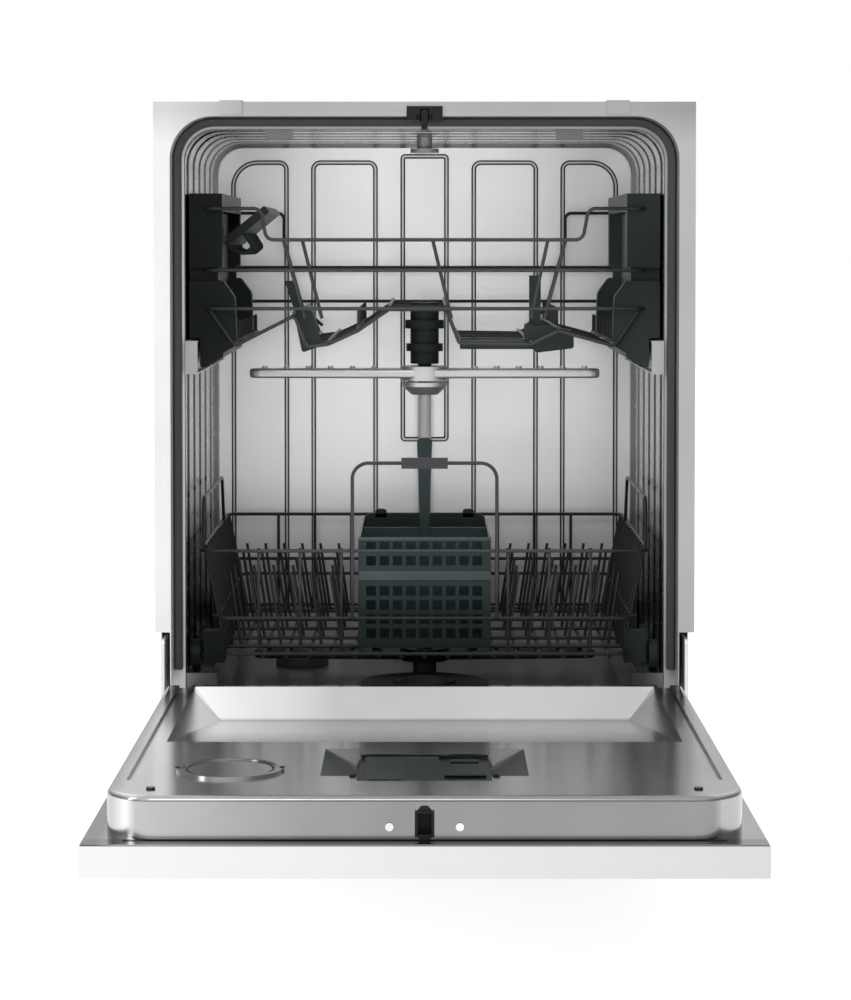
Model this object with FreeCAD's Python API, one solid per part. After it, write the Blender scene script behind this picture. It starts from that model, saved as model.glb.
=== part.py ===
import FreeCAD, Part
import math
import os

V = FreeCAD.Vector

# Built-in dishwasher, door open, racks in. Millimetres, +X right, +Y into the machine, +Z up.
# Pieces are drawn with y = 0 on the tub's front flange, and export moves them back so that
# the origin is under the middle of the whole.

# body
BODY_HALF = 299.0
BODY_TOP = 820.0
BODY_BACK = 555.0
FLANGE_FOOT = 233.0
MOUTH_HALF = 281.0
MOUTH_TOP = 804.0
MOUTH_RADIUS = 47.0
MOUTH_DEPTH = 45.0
SHEET = 1.0
# tub
TUB_HALF = 268.0
TUB_TOP = 791.0
TUB_RADIUS = 38.0
TUB_FLOOR = 150.0
TUB_BACK = 500.0
LEDGE = 181.0
LEDGE_HALF = 240.0
RIB_PITCH = 82.0
RIB_COUNT = 5
SUMP_Y = 160.0
SUMP_RADIUS = 74.0
LOWER_ARM_Y = 262.0
# door, lying open
HINGE_Y = -17.0
HINGE_Z = 139.0
PIN_RADIUS = 4.0
DOOR_FRONT = -695.0
DOOR_REAR = -31.0
DOOR_UNDER = 117.0
DOOR_RIM = 146.0
FASCIA_REAR = -575.0
LINER_HALF = 280.0
LINER_FRONT = -675.0
LINER_REAR = -60.0
LINER_TOP = 184.5
LINER_RADIUS = 45.0
GROOVE_X = 259.5
BUTTONS = (("power_button", -235.0), ("start_button", 235.0))
DISPLAY_X = (120.0, 200.0)
CONTROL_Y = -635.0
# racks
WIRE = 2.0
RACK_FRONT = 41.0
RACK_REAR = 474.0
UPPER_HALF = 246.0
UPPER_RIM = 703.0
UPPER_DROP = 668.0
UPPER_MIDDLE = 634.0
UPPER_FLOOR = 591.0
RAIL_Z = 536.5
RAIL_HEIGHT = 37.0
RAIL_REAR = 460.0
ROLLER_YS = (216.0, 340.0)
ARM_Y = 250.0
LOWER_HALF = 252.0
LOWER_FOOT_HALF = 228.0
LOWER_RIM = 319.0
LOWER_FLOOR = 203.0
WHEEL_RADIUS = 17.0
WHEEL_YS = (72.0, 200.0, 420.0)
# frame and placing
BRACKET_X = 213.5
REAR_PLATE = BODY_BACK - 26.0
SHIFT_Y = (-DOOR_FRONT - BODY_BACK) / 2


def box(x0, x1, y0, y1, z0, z1):
    return Part.makeBox(x1 - x0, y1 - y0, z1 - z0, V(x0, y0, z0))


def rod(radius, start, end):
    axis = end.sub(start)
    return Part.makeCylinder(radius, axis.Length, start, axis)


def pipe(outer, inner, start, end):
    return rod(outer, start, end).cut(rod(inner, start, end))


def mirrored(shape):
    return shape.mirror(V(0, 0, 0), V(1, 0, 0))


def joined(shapes):
    return shapes[0].fuse(shapes[1:]).removeSplitter()


def export(name, shapes):
    whole = Part.makeCompound(shapes) if len(shapes) > 1 else shapes[0]
    placed = whole.copy()
    placed.translate(V(0, SHIFT_Y, 0))
    placed.exportStep("parts/" + name + ".step")


def rounded_wire(points, radii):
    """Closed outline through the points, each corner rounded by its radius (0 leaves it sharp)."""
    count = len(points)
    ends = []
    for i in range(count):
        corner = points[i]
        back = points[i - 1].sub(corner).normalize()
        ahead = points[(i + 1) % count].sub(corner).normalize()
        if radii[i] == 0:
            ends.append((corner, None, corner))
            continue
        half = back.getAngle(ahead) / 2
        reach = radii[i] / math.tan(half)
        bisector = back.add(ahead).normalize()
        middle = corner.add(bisector * (radii[i] / math.sin(half) - radii[i]))
        ends.append((corner.add(back * reach), middle, corner.add(ahead * reach)))
    edges = []
    for i in range(count):
        start, middle, end = ends[i]
        if middle is not None:
            edges.append(Part.Arc(start, middle, end).toShape())
        following = ends[(i + 1) % count][0]
        if following.sub(end).Length > 1e-6:
            edges.append(Part.LineSegment(end, following).toShape())
    return Part.Wire(edges)


def prism(points, radii, along):
    return Part.Face(rounded_wire(points, radii)).extrude(along)


def arch(half, top, foot, radius, y0, y1):
    """Solid with two rounded top corners, as wide as 2 * half, from y0 to y1."""
    corners = [V(-half, y0, foot), V(-half, y0, top), V(half, y0, top), V(half, y0, foot)]
    return prism(corners, [0, radius, radius, 0], V(0, y1 - y0, 0))


def swept_arch(profile, half, top, foot, radius):
    """Closed profile of (y, outward offset) carried up one side, over the top and down the other."""
    upright = Part.Face(Part.makePolygon([V(-half - o, y, foot) for y, o in profile + profile[:1]]))
    bend = Part.Face(Part.makePolygon([V(-half - o, y, top - radius) for y, o in profile + profile[:1]]))
    across = Part.Face(Part.makePolygon([V(-half + radius, y, top + o) for y, o in profile + profile[:1]]))
    side = upright.extrude(V(0, 0, top - radius - foot))
    corner = bend.revolve(V(-half + radius, 0, top - radius), V(0, 1, 0), 90)
    lintel = across.extrude(V(2 * (half - radius), 0, 0))
    return joined([side, corner, lintel, mirrored(corner), mirrored(side)])


def polyhedron(vertices, faces):
    skins = [Part.Face(Part.makePolygon([vertices[i] for i in face + face[:1]])) for face in faces]
    return Part.Solid(Part.Shell(skins))


def wire_run(points, bend, radius=WIRE):
    """Bent wire through the points as its straight runs and round bends, each a solid."""
    runs = []
    start = points[0]
    for i in range(1, len(points) - 1):
        corner = points[i]
        back = points[i - 1].sub(corner).normalize()
        ahead = points[i + 1].sub(corner).normalize()
        half = back.getAngle(ahead) / 2
        reach = bend / math.tan(half)
        entry = corner.add(back * reach)
        leave = corner.add(ahead * reach)
        runs.append(rod(radius, start, entry))
        centre = corner.add(back.add(ahead).normalize() * (bend / math.sin(half)))
        turn = back.cross(ahead) * -1
        disc = Part.Face(Part.Wire(Part.makeCircle(radius, entry, back)))
        runs.append(disc.revolve(centre, turn, 180 - math.degrees(2 * half)))
        start = leave
    runs.append(rod(radius, start, points[-1]))
    return runs


def wire_ring(half, front, rear, z, bend):
    """Closed loop of wire round a rack at one height."""
    corners = [V(0, front, z), V(half, front, z), V(half, rear, z), V(-half, rear, z),
               V(-half, front, z), V(0, front, z)]
    return wire_run(corners, bend)


# ---- cabinet -------------------------------------------------------------------------------

def front_frame():
    plate = box(-BODY_HALF, BODY_HALF, 0, 1.2, FLANGE_FOOT, BODY_TOP)
    plate = plate.cut(arch(MOUTH_HALF, MOUTH_TOP, 200, MOUTH_RADIUS, -1, 2))
    roof = box(-BODY_HALF, BODY_HALF, 0, 60, BODY_TOP - 1.2, BODY_TOP)
    left = box(-BODY_HALF, -BODY_HALF + 1.2, 0, 24, FLANGE_FOOT, BODY_TOP)
    seat = [(0, 0), (0, 1.2), (MOUTH_DEPTH, 1.2), (MOUTH_DEPTH, -12), (MOUTH_DEPTH - 1.2, -12),
            (MOUTH_DEPTH - 1.2, 0)]
    throat = swept_arch(seat, MOUTH_HALF, MOUTH_TOP, 160, MOUTH_RADIUS)
    frame = joined([plate, roof, left, mirrored(left), throat])
    frame = frame.cut(box(-20.2, 20.2, -3, 36, 798, 815.2))
    for x in (-BRACKET_X, BRACKET_X):
        frame = frame.cut(rod(2.6, V(x, 16, BODY_TOP - 4), V(x, 16, BODY_TOP + 4)))
    return frame


def tub_wrapper():
    inner = [(MOUTH_DEPTH, 12), (MOUTH_DEPTH, 0)]
    for i in range(RIB_COUNT):
        start = MOUTH_DEPTH + 20 + i * RIB_PITCH
        inner += [(start, 0), (start + 7, 3), (start + 23, 3), (start + 30, 0)]
    inner += [(TUB_BACK - 34, 0), (TUB_BACK - 22, -5), (TUB_BACK, -5)]
    outer = [(y, o + SHEET) for y, o in reversed(inner[1:])]
    outer[-1] = (MOUTH_DEPTH + SHEET, SHEET)
    profile = inner + outer + [(MOUTH_DEPTH + SHEET, 12)]
    return swept_arch(profile, TUB_HALF, TUB_TOP, TUB_FLOOR - SHEET, TUB_RADIUS)


def bead(x0, x1, z0, z1, radii):
    """Pressed outline with sloping sides, standing out of the back wall."""
    width, height, slope = 6.0, 2.6, 1.9
    face = TUB_BACK - height
    points = [V(x0, face, z0), V(x0, face, z1), V(x1, face, z1), V(x1, face, z0)]
    ring = prism(points, radii, V(0, height + 0.2, 0))
    inset = [V(x0 + width, face, z0 + width), V(x0 + width, face, z1 - width),
             V(x1 - width, face, z1 - width), V(x1 - width, face, z0 + width)]
    ring = ring.cut(prism(inset, [max(r - width, 1) for r in radii], V(0, height + 0.2, 0)))
    crest = [e for e in ring.Edges if e.BoundBox.YMax < face + 0.01]
    return ring.makeChamfer(slope, crest)


def tub_back_wall():
    sheet = arch(TUB_HALF - 5, TUB_TOP - 5, TUB_FLOOR - SHEET, TUB_RADIUS - 5, TUB_BACK, TUB_BACK + SHEET)
    beads = [bead(-248, -174, 190, 771, [12, 34, 12, 12]), bead(-145.5, -60, 190, 771, [12, 12, 12, 12]),
             bead(-31, 31, 410, 779, [6, 6, 6, 6])]
    return joined([sheet] + beads + [mirrored(beads[0]), mirrored(beads[1])])


def tub_floor():
    front = MOUTH_DEPTH
    outline = [V(-TUB_HALF, front, LEDGE), V(-LEDGE_HALF, front, LEDGE),
               V(-LEDGE_HALF + 12, front, TUB_FLOOR), V(LEDGE_HALF - 12, front, TUB_FLOOR),
               V(LEDGE_HALF, front, LEDGE), V(TUB_HALF, front, LEDGE)]
    under = [p.add(V(0, 0, -SHEET)) for p in reversed(outline)]
    sheet = prism(outline + under, [0] * 12, V(0, TUB_BACK - front, 0))
    sill = box(-TUB_HALF, TUB_HALF, front, front + SHEET, 122, TUB_FLOOR)
    ends = box(LEDGE_HALF - 6, TUB_HALF, front, front + SHEET, TUB_FLOOR - SHEET, LEDGE)
    hole = rod(SUMP_RADIUS - 8, V(0, SUMP_Y, 140), V(0, SUMP_Y, 160))
    riser = rod(8.3, V(0, TUB_BACK - 12, 140), V(0, TUB_BACK - 12, 160))
    post = rod(14.3, V(0, LOWER_ARM_Y, 140), V(0, LOWER_ARM_Y, 160))
    seam = box(TUB_HALF - 5.2, TUB_HALF + 1, TUB_BACK - 36, TUB_BACK + 1, LEDGE - 3, LEDGE + 1)
    floor = joined([sheet, sill, ends, mirrored(ends)])
    return floor.cut([hole, riser, post, seam, mirrored(seam)])


def door_gasket():
    profile = [(43.6, 0.4), (43.6, 9.6), (31, 9.6), (28.6, 7.4), (28.6, 2.6), (31, 0.4)]
    half = TUB_HALF + 3
    return swept_arch(profile, half, TUB_TOP + 3, 187, MOUTH_RADIUS - 10)


def side_panels():
    left = box(-294.5, -293.5, 25, REAR_PLATE + 3, 98, BODY_TOP - 14)
    return [left, mirrored(left)]


def base_tray():
    shell = box(-293, 293, 52, REAR_PLATE, 24, 96).cut(box(-290, 290, 55, REAR_PLATE - 3, 27, 97))
    for x in (-250, 250):
        for y in (80, BODY_BACK - 60):
            shell = shell.cut(rod(5.2, V(x, y, 20), V(x, y, 30)))
    return shell


def levelling_feet():
    feet = []
    for x in (-250, 250):
        for y in (80, BODY_BACK - 60):
            pad = rod(19, V(x, y, 0), V(x, y, 9))
            stem = rod(5, V(x, y, 8), V(x, y, 52))
            nut = rod(9, V(x, y, 18), V(x, y, 23.8))
            feet.append(joined([pad, stem, nut]))
    return feet


def rear_frame():
    y0, y1 = REAR_PLATE, REAR_PLATE + 3
    posts = box(-293, -262, y0, y1, 24, 806)
    beam = box(-293, 293, y0, y1, 770, 806)
    foot = box(-293, 293, y0, y1, 24, 150)
    foot = foot.cut(rod(15.5, V(-215, y0 - 1, 110), V(-215, y1 + 1, 110)))
    foot = foot.cut(rod(12.2, V(-120, y0 - 1, 110), V(-120, y1 + 1, 110)))
    foot = foot.cut(box(188, 222, y0 - 1, y1 + 1, 98, 122))
    return joined([posts, mirrored(posts), beam, foot])


def kick_plate():
    plate = box(-286, 286, 40, 42, 12, 108)
    lip = box(-286, 286, 42, 51.9, 90, 92)
    return joined([plate, lip])


def hinge_brackets():
    outline = [V(288, -27, 128), V(288, -27, 149), V(288, -7, 150), V(288, -7, 226), V(288, 60, 226),
               V(288, 60, 97), V(288, 10, 97), V(288, -10, 120)]
    plate = prism(outline, [9, 9, 4, 6, 6, 6, 6, 6], V(3, 0, 0))
    pin = rod(PIN_RADIUS, V(282.4, HINGE_Y, HINGE_Z), V(290, HINGE_Y, HINGE_Z))
    right = joined([plate, pin])
    return [right, mirrored(right)]


def worktop_brackets():
    tab = box(-226, -201, -1.6, 30, BODY_TOP, BODY_TOP + 1.6)
    lug = box(-226, -201, -1.6, 0, BODY_TOP - 14, BODY_TOP + 1.6)
    screw = rod(2.25, V(-BRACKET_X, 16, BODY_TOP - 2), V(-BRACKET_X, 16, BODY_TOP + 4))
    left = joined([tab, lug]).cut(screw)
    return [left, mirrored(left)]


def latch_housing():
    block = box(-20, 20, -2, 28.4, 799.5, 815)
    slot = box(-5, 5, -3, 24, 790, 812)
    notch = box(-9, 9, -3, 4, 790, 805)
    return block.cut(slot).cut(notch)


def latch_hook():
    plate = box(-3.5, 3.5, -0.5, 9, 789, 811)
    toe = box(-3.5, 3.5, -3.5, 0, 789, 793)
    pivot = rod(2, V(-4.8, 6, 808), V(4.8, 6, 808))
    return joined([plate, toe, pivot])


def door_springs():
    """Coil on each side that balances the door, with straight ends."""
    turns = Part.makeHelix(4.2, 92, 6)
    start = Part.Wire(Part.makeCircle(1.2, V(6, 0, 0), V(0, 1, 0)))
    coil = Part.Wire(turns.Edges).makePipeShell([start], True, True)
    coil.translate(V(281, 70, 240))
    return [coil, mirrored(coil)]


def ceiling_fittings():
    """Top sprinkler and the two black clips under the ceiling."""
    nozzle = joined([rod(9, V(0, 250, 776), V(0, 250, TUB_TOP)), rod(17, V(0, 250, 772), V(0, 250, 777))])
    clip = joined([box(-178, -148, 56, 62, 781, TUB_TOP), box(-170, -156, 62, 100, 785, TUB_TOP)])
    return [nozzle, clip, mirrored(clip)]


def rail_rollers():
    rollers = []
    for y in (84, 222):
        wheel = rod(16.6, V(-267, y, RAIL_Z), V(-262, y, RAIL_Z))
        stud = rod(5, V(-267.9, y, RAIL_Z), V(-261.4, y, RAIL_Z))
        rollers += [joined([wheel, stud]), mirrored(joined([wheel, stud]))]
    return rollers


def sump_housing():
    outer = Part.makeCone(60, SUMP_RADIUS + 4, 46, V(0, SUMP_Y, TUB_FLOOR - 48), V(0, 0, 1))
    inner = Part.makeCone(56, SUMP_RADIUS, 44, V(0, SUMP_Y, TUB_FLOOR - 45), V(0, 0, 1))
    body = outer.cut(inner)
    cup = pipe(44, 41, V(0, SUMP_Y, 62), V(0, SUMP_Y, 104))
    bottom = rod(44, V(0, SUMP_Y, 59), V(0, SUMP_Y, 62))
    open_middle = rod(41, V(0, SUMP_Y, 62), V(0, SUMP_Y, 110))
    shell = joined([body, cup, bottom]).cut(open_middle)
    outlet = pipe(14, 11.5, V(50, SUMP_Y + 20, 112), V(112, SUMP_Y + 20, 112))
    post = rod(9, V(0, LOWER_ARM_Y, 118), V(0, LOWER_ARM_Y, 184))
    collar = rod(14, V(0, LOWER_ARM_Y, 118), V(0, LOWER_ARM_Y, 163))
    duct = box(-14, 14, SUMP_Y + 62, LOWER_ARM_Y + 14, 118, 144)
    return joined([shell, outlet, post, collar, duct])


def coarse_filter():
    wall = pipe(33, 31, V(0, SUMP_Y, 66), V(0, SUMP_Y, 155))
    for k in range(12):
        angle = math.radians(30 * k)
        side = V(math.cos(angle) * 30, math.sin(angle) * 30, 0)
        tip = V(math.cos(angle) * 36, math.sin(angle) * 36, 0)
        for z in (80, 96, 112):
            wall = wall.cut(rod(4, V(0, SUMP_Y, z).add(side), V(0, SUMP_Y, z).add(tip)))
    bottom = rod(33, V(0, SUMP_Y, 64), V(0, SUMP_Y, 66))
    return joined([wall, bottom])


def fine_filter():
    disc = pipe(SUMP_RADIUS, 33.4, V(0, SUMP_Y, TUB_FLOOR), V(0, SUMP_Y, TUB_FLOOR + 3))
    rim = pipe(37, 33.4, V(0, SUMP_Y, TUB_FLOOR), V(0, SUMP_Y, TUB_FLOOR + 6))
    return joined([disc, rim])


def circulation_pump():
    volute = rod(46, V(112, SUMP_Y + 20, 78), V(150, SUMP_Y + 20, 78))
    motor = rod(36, V(150, SUMP_Y + 20, 78), V(232, SUMP_Y + 20, 78))
    return joined([volute, motor]).cut(rod(11.4, V(100, SUMP_Y + 20, 112), V(140, SUMP_Y + 20, 112)))


def drain_pump():
    head = rod(24, V(-72, SUMP_Y, 78), V(-44.2, SUMP_Y, 78))
    motor = rod(19, V(-118, SUMP_Y, 78), V(-70, SUMP_Y, 78))
    riser = rod(8, V(-96, SUMP_Y, 78), V(-96, SUMP_Y + 30, 110))
    hose = rod(8, V(-96, SUMP_Y + 30, 110), V(-120, 500, 110))
    spigot = rod(10, V(-120, 496, 110), V(-120, BODY_BACK, 110))
    return joined([head, motor, riser, hose, spigot])


def feed_pipe():
    y = TUB_BACK - 12
    riser = rod(8, V(0, y, 116), V(0, y, 572))
    collar = rod(11.5, V(0, y, 572), V(0, y, 592))
    run = box(-7, 138, y - 7, y + 7, 110, 124)
    branch = box(124, 138, SUMP_Y + 68, y, 110, 124)
    return joined([riser, collar, run, branch])


def inlet_valve():
    block = box(-240, -190, 478, 518, 88, 134)
    neck = rod(11, V(-215, 518, 110), V(-215, REAR_PLATE + 2, 110))
    thread = rod(13.2, V(-215, REAR_PLATE + 2, 110), V(-215, BODY_BACK, 110))
    return joined([block, neck, thread])


def air_break():
    body = box(-290, -274, 120, 330, 300, 600)
    for z in (350, 400, 450, 500, 550):
        body = body.cut(box(-287, -270, 130, 300, z, z + 6))
    return body


def salt_container():
    cap = rod(32, V(-150, 330, TUB_FLOOR), V(-150, 330, TUB_FLOOR + 9))
    knob = box(-172, -128, 327, 333, TUB_FLOOR + 9, TUB_FLOOR + 14)
    return joined([cap, knob])


def power_inlet():
    shell = box(188.5, 221.5, BODY_BACK - 32, BODY_BACK, 98.5, 121.5)
    return shell.cut(rod(5, V(205, BODY_BACK - 20, 110), V(205, BODY_BACK + 1, 110)))


# ---- upper rack ----------------------------------------------------------------------------

def upper_rack_basket():
    wires = []
    f, r, h = RACK_FRONT, RACK_REAR, UPPER_HALF
    middle = (f + r) / 2
    step = [V(-183, f, UPPER_RIM), V(-177, f, UPPER_DROP), V(177, f, UPPER_DROP), V(183, f, UPPER_RIM)]
    wires += wire_run([V(-h, middle, UPPER_RIM), V(-h, f, UPPER_RIM)] + step
                      + [V(h, f, UPPER_RIM), V(h, middle, UPPER_RIM)], 10)
    for side in (-1, 1):
        leg = [V(side * h, middle, UPPER_RIM), V(side * h, r, UPPER_RIM), V(side * 179, r, UPPER_RIM),
               V(side * 179, r, UPPER_DROP), V(side * 155, r, 582), V(side * 130, r, 560)]
        wires += wire_run(leg, 8)
    wires += wire_ring(h, f, r, UPPER_MIDDLE, 14)
    wires += wire_ring(h, f, r, UPPER_FLOOR, 14)
    for side in (-1, 1):
        for k in range(9):
            y = f + 34 + k * 46
            x = side * (h - 3.5)
            wires.append(rod(WIRE, V(x, y, UPPER_FLOOR - 2), V(x, y, UPPER_RIM)))
    for x_top, x_foot in ((-158, -134), (-137, -115), (9, 30), (158, 134), (138, 119)):
        wires.append(rod(WIRE, V(x_top, f + 3.5, UPPER_DROP), V(x_foot, f + 3.5, 580)))
    return wires + upper_rack_floor()


def upper_rack_floor():
    """Cross wires bent to a shallow W, and straight wires from front to back lying on them."""
    shape = [(-UPPER_HALF + 4, 591), (-213, 549), (-146, 583), (-132, 548), (-108, 551), (-75, 566),
             (-40, 590), (24, 590), (39, 552), (119, 551), (150, 566), (213, 549), (UPPER_HALF - 4, 591)]
    wires = []
    for y in (RACK_FRONT + 7, 128, 187, 314, 390, RACK_REAR - 7):
        wires += wire_run([V(x, y, z) for x, z in shape], 5)
    for x, z in shape[1:-1]:
        wires.append(rod(WIRE, V(x, RACK_FRONT, z + 3.4), V(x, RACK_REAR, z + 3.4)))
    for x, top in ((-213, 575), (-75, 590), (150, 592), (213, 575)):
        for k in range(9):
            y = RACK_FRONT + 40 + k * 45
            wires.append(rod(1.6, V(x, y, top - 26), V(x, y, top)))
    return wires


def tine_holders():
    """Plastic blocks clipped on the floor wires that carry the short upright posts."""
    left = prism([V(-148, 60, 590), V(-126, 60, 588), V(-116, 60, 549), V(-138, 60, 541)], [3, 3, 3, 3],
                 V(0, 34, 0))
    post = prism([V(-158, 70, 622), V(-149, 70, 622), V(-130, 70, 566), V(-140, 70, 566)], [2, 2, 2, 2],
                 V(0, 8, 0))
    right = prism([V(113, 60, 574), V(168, 60, 566), V(168, 60, 546), V(126, 60, 541), V(113, 60, 556)],
                  [3, 3, 3, 3, 3], V(0, 34, 0))
    pillar = box(118, 131, 66, 74, 560, 628)
    shelf = box(40, 126, 62, 90, 545, 554)
    return [joined([left, post]), joined([right, pillar, shelf])]


def rack_side_brackets():
    """Height adjusters on both sides of the upper rack, which carry its rollers."""
    y0, y1 = 50.0, 372.0
    along = V(0, y1 - y0, 0)
    upper = box(-264, -227, y0, y1, 637, 720)
    neck = box(-264, -232, y0 + 8, y1 - 8, 604, 640)
    lower = prism([V(-264, y0, 622), V(-226, y0, 622), V(-213, y0, 604), V(-211, y0, 550), V(-226, y0, 541),
                   V(-252, y0, 541), V(-252, y0, 557.5), V(-264, y0, 557.5)],
                  [2, 6, 12, 6, 2, 1, 1, 2], along)
    foot = prism([V(-252, y0, 548), V(-226, y0, 548), V(-226, y0, 536), V(-252, y0, 524)],
                 [1, 1, 4, 2], along)
    lower = lower.fuse(foot)
    hollow = box(-240, -200, y0 + 20, y1 - 20, 556, 700)
    left = joined([upper, neck, lower]).cut(hollow)
    for y in ROLLER_YS:
        left = left.cut(rod(3.05, V(-253, y, RAIL_Z), V(-235, y, RAIL_Z)))
    return [left, mirrored(left)]


def rack_rollers(y):
    left = joined([rod(16.6, V(-260, y, RAIL_Z), V(-254.5, y, RAIL_Z)),
                   rod(3, V(-260, y, RAIL_Z), V(-236, y, RAIL_Z))])
    return [left, mirrored(left)]


def upper_rails():
    bottom, top = RAIL_Z - RAIL_HEIGHT / 2, RAIL_Z + RAIL_HEIGHT / 2
    web = box(-261.4, -260.4, 40, RAIL_REAR, bottom, top)
    shelf = box(-267.4, -254, 40, RAIL_REAR, bottom, bottom + 1.2)
    roof = box(-267.4, -254, 40, RAIL_REAR, top - 1.2, top)
    cap = box(-267.4, -254, 33, 40, bottom, top)
    left = joined([web, shelf, roof, cap])
    return [left, mirrored(left)]


def spray_manifold():
    hub = rod(17, V(0, ARM_Y, 521), V(0, ARM_Y, 594))
    rings = [rod(22, V(0, ARM_Y, 536), V(0, ARM_Y, 545)), rod(23, V(0, ARM_Y, 563), V(0, ARM_Y, 573))]
    spindle = rod(8, V(0, ARM_Y, 494), V(0, ARM_Y, 522))
    duct = box(-12, 12, ARM_Y, 452, 570, 588)
    mouth = pipe(14, 9, V(0, 450, 579), V(0, 474, 579))
    return joined([hub] + rings + [spindle, duct, mouth])


def spray_arm(half_length, y, z, thickness, bore, nozzles):
    """Flat blade with rounded ends, a round hub and a row of jets."""
    root, tip = 26.0, 14.0
    outline = [V(-half_length, y - tip, z), V(-half_length, y + tip, z), V(0, y + root, z),
               V(half_length, y + tip, z), V(half_length, y - tip, z), V(0, y - root, z)]
    blade = prism(outline, [tip - 1, tip - 1, 30, tip - 1, tip - 1, 30], V(0, 0, thickness))
    blade = blade.makeFillet(thickness * 0.32, [e for e in blade.Edges if e.BoundBox.ZLength < 0.01])
    hub = rod(28, V(0, y, z - 3), V(0, y, z + thickness + 3))
    jets = []
    for k in range(nozzles):
        x = 60 + k * (half_length - 78) / (nozzles - 1)
        jets += [rod(3.4, V(x, y, z + thickness - 1), V(x, y, z + thickness + 3)),
                 rod(3.4, V(-x, y, z + thickness - 1), V(-x, y, z + thickness + 3))]
    return joined([blade, hub] + jets).cut(rod(bore, V(0, y, z - 30), V(0, y, z + 40)))


def arm_nut():
    cap = Part.makeCone(16, 27, 10, V(0, ARM_Y, 484), V(0, 0, 1))
    collar = rod(27, V(0, ARM_Y, 494), V(0, ARM_Y, 499))
    return cap.fuse(collar).cut(rod(8.05, V(0, ARM_Y, 490), V(0, ARM_Y, 520)))


def cup_shelf():
    """Folding shelf on the left, standing up, with a bar that hooks on the rack's side wire."""
    bar = prism([V(-222, 90, 662), V(-176, 90, 700), V(-182, 90, 707), V(-226, 90, 672)], [2, 2, 2, 2],
                V(0, 240, 0))
    bar = bar.fuse(rod(3, V(-224, 90, 665), V(-224, 330, 665))).removeSplitter()
    ribs = []
    for k in range(7):
        y = 98 + k * 35
        loop = [V(-206, y, 676), V(-196, y, 660), V(-206, y, 652), V(-222, y, 658), V(-224, y, 667)]
        ribs += wire_run(loop, 4, 1.6)
    return [bar] + ribs


# ---- lower rack ----------------------------------------------------------------------------

def lower_rack_basket():
    wires = []
    f, r = RACK_FRONT + 2, RACK_REAR
    for z, half in ((LOWER_FLOOR, LOWER_FOOT_HALF), (243, 234), (LOWER_RIM, LOWER_HALF)):
        wires += wire_ring(half, f, r, z, 16)
    for side in (-1, 1):
        high = [V(side * 250, f + 26, LOWER_RIM), V(side * 250, f + 26, 376), V(side * 250, r - 120, 376),
                V(side * 250, r - 90, LOWER_RIM)]
        wires += wire_run(high, 12)
        for k in range(13):
            y = f + 24 + k * 32
            wires.append(rod(1.8, V(side * (LOWER_FOOT_HALF - 3), y, LOWER_FLOOR),
                             V(side * (LOWER_HALF - 3.6), y, LOWER_RIM + 1)))
    for side in (-1, 1):
        for k in range(3):
            x = side * (93.5 + 46.5 * k)
            wires.append(rod(1.8, V(x, r - 3.6, LOWER_FLOOR), V(x, r - 3.6, LOWER_RIM + 1)))
            wires.append(rod(1.8, V(x, f + 3.6, LOWER_FLOOR), V(x, f + 3.6, LOWER_RIM + 3)))
    for k in range(17):
        x = -208 + k * 26
        wires.append(rod(WIRE, V(x, f, LOWER_FLOOR - 3.4), V(x, r, LOWER_FLOOR - 3.4)))
    wires.append(rod(WIRE, V(-LOWER_HALF + 14, r, 262), V(LOWER_HALF - 14, r, 262)))
    for y in (f + 60, 170, 250, 330, 410):
        wires.append(rod(WIRE, V(-LOWER_FOOT_HALF, y, LOWER_FLOOR), V(LOWER_FOOT_HALF, y, LOWER_FLOOR)))
    return wires + plate_tines()


def plate_tines():
    """Rows of upright wires that lean outwards and hold the plates on edge."""
    tines = []
    for side in (-1, 1):
        for k in range(6):
            foot = side * (95 + 23 * k)
            for y in (RACK_FRONT + 64, 172, 252, 332, 412):
                tines.append(rod(1.7, V(foot, y, LOWER_FLOOR - 1), V(foot + side * 13, y + 3, 288)))
    return tines


def rack_handle():
    y = RACK_FRONT + 2 - 2 * WIRE
    path = [V(-81, y, 243), V(-81, y, 418), V(81, y, 418), V(81, y, 243)]
    grip = box(-26, 26, y - 4, y + 4, 412, 424)
    return wire_run(path, 18) + [grip]


def wheel_carriers():
    """Black clips under both sides of the lower rack that hold the wheel axles."""
    blocks = []
    for y in WHEEL_YS:
        block = box(-250, -226, y - 11, y + 11, 190, 226)
        z = LEDGE + WHEEL_RADIUS + 0.3
        block = block.cut(rod(3.05, V(-251, y, z), V(-238, y, z)))
        blocks += [block, mirrored(block)]
    return blocks


def lower_wheels(y):
    z = LEDGE + WHEEL_RADIUS + 0.3
    left = joined([rod(WHEEL_RADIUS, V(-263, y, z), V(-254, y, z)), rod(3, V(-256, y, z), V(-239, y, z))])
    return [left, mirrored(left)]


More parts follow.
